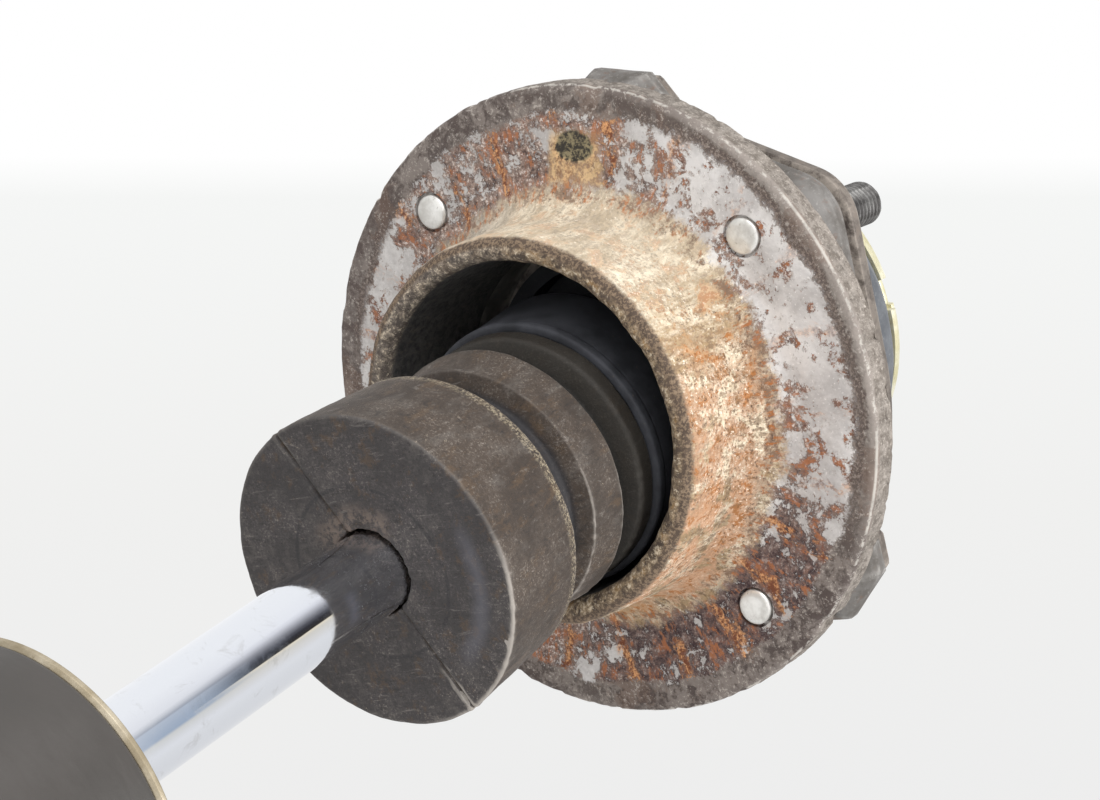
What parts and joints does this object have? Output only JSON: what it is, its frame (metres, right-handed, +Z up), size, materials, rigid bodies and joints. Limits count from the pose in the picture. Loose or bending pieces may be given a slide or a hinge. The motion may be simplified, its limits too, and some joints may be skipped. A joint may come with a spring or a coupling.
{
  "type": "suspension strut",
  "caption": "Monotube suspension damper with chromed rod, ribbed bump stop, cast spring seat with collar, rubber-bushed top mount with studs, and a lower eye bush.",
  "frame": {"origin": "centre of the stud circle, on the mounting face, which is also the point that the mount leans about", "axes": "+Z up along the piston rod; the mount's own axis leans from +Z towards +X; +Y along the lower eye's bolt"},
  "size_m": [0.1182, 0.118, 0.498],
  "materials": {
    "stained_casting": "cast, stained and oxidised",
    "upper_casting": "cast, dull grey-brown",
    "brown_plate": "dull, browned steel",
    "stud_steel": "rolled thread, dull grey",
    "rivet_metal": "bright, lightly hammered",
    "pressed_steel": "dark phosphated steel",
    "bush_rubber": "matte black rubber",
    "blue_grey_rubber": "satin blue-grey rubber",
    "yellow_zinc": "yellow zinc passivated",
    "zinc_steel": "zinc plated",
    "stop_polymer": "moulded, matte brown-black with dust",
    "hard_chrome": "polished hard chrome",
    "bright_steel": "turned and ground",
    "sintered": "sintered, steam treated",
    "low_friction": "bronze-filled low-friction band",
    "bumper_plastic": "cream elastomer",
    "seal_rubber": "lip seal rubber",
    "guide_alloy": "turned alloy",
    "bronze": "plain bearing bronze",
    "damper_paint": "satin dark grey-brown paint",
    "perch_paint": "satin black coating"
  },
  "bodies": {
    "mount": {"spring_seat": "stained_casting", "mount_body": "upper_casting", "stud_plate": "brown_plate", "mount_studs": "stud_steel", "seat_rivets": "rivet_metal", "bush_shell": "pressed_steel", "bush_rubber": "bush_rubber"},
    "rod": {"bush_core": "pressed_steel", "upper_bush": "blue_grey_rubber", "upper_washer": "yellow_zinc", "nut_washer": "zinc_steel", "top_nut": "yellow_zinc", "bump_stop_cup": "pressed_steel", "bump_stop": "stop_polymer", "piston_rod": "hard_chrome", "rebound_stop": "bumper_plastic", "rebound_collar": "bright_steel", "rebound_snap_ring": "bright_steel", "compression_shims": "bright_steel", "piston": "sintered", "piston_band": "low_friction", "rebound_shims": "bright_steel", "piston_nut": "zinc_steel"},
    "tube": {"damper_tube": "damper_paint", "strike_plate": "yellow_zinc", "head_circlip": "bright_steel", "rod_wiper": "seal_rubber", "rod_seal": "seal_rubber", "rod_guide": "guide_alloy", "guide_bush": "bronze", "guide_oring": "seal_rubber", "spring_perch": "perch_paint", "perch_ring": "bright_steel", "base_cap": "damper_paint", "fill_screw": "zinc_steel", "lower_eye": "damper_paint", "lower_bush_shell": "bright_steel", "lower_bush_rubber": "bush_rubber"},
    "floating": {"floating_piston": "guide_alloy", "floating_oring": "seal_rubber"},
    "sleeve": {"lower_sleeve": "yellow_zinc"}
  },
  "joints": [
    {"name": "mount_bush_tilt", "type": "hinge", "parent": "mount", "child": "rod", "pos_m": [0, 0, 0], "axis": [0, 1, 0], "range_deg": [-0.4, 15.6]},
    {"name": "damper_stroke", "type": "slide", "parent": "rod", "child": "tube", "axis": [0, 0, 1], "range_m": [0, 0.1], "stiffness_N_per_m": 300, "springref_m": -0.05, "deforming": ["bump_stop"]},
    {"name": "floating_piston_slide", "type": "slide", "parent": "tube", "child": "floating", "axis": [0, 0, -1], "range_m": [0, 0.0093]},
    {"name": "lower_bush_twist", "type": "hinge", "parent": "tube", "child": "sleeve", "pos_m": [0, 0, -0.424], "axis": [0, 1, 0], "range_deg": [-20, 20], "stiffness_Nm_per_rad": 2}
  ],
  "couplings": [
    {"joint": "floating_piston_slide", "follows": "damper_stroke", "ratio": 0.09263}
  ]
}
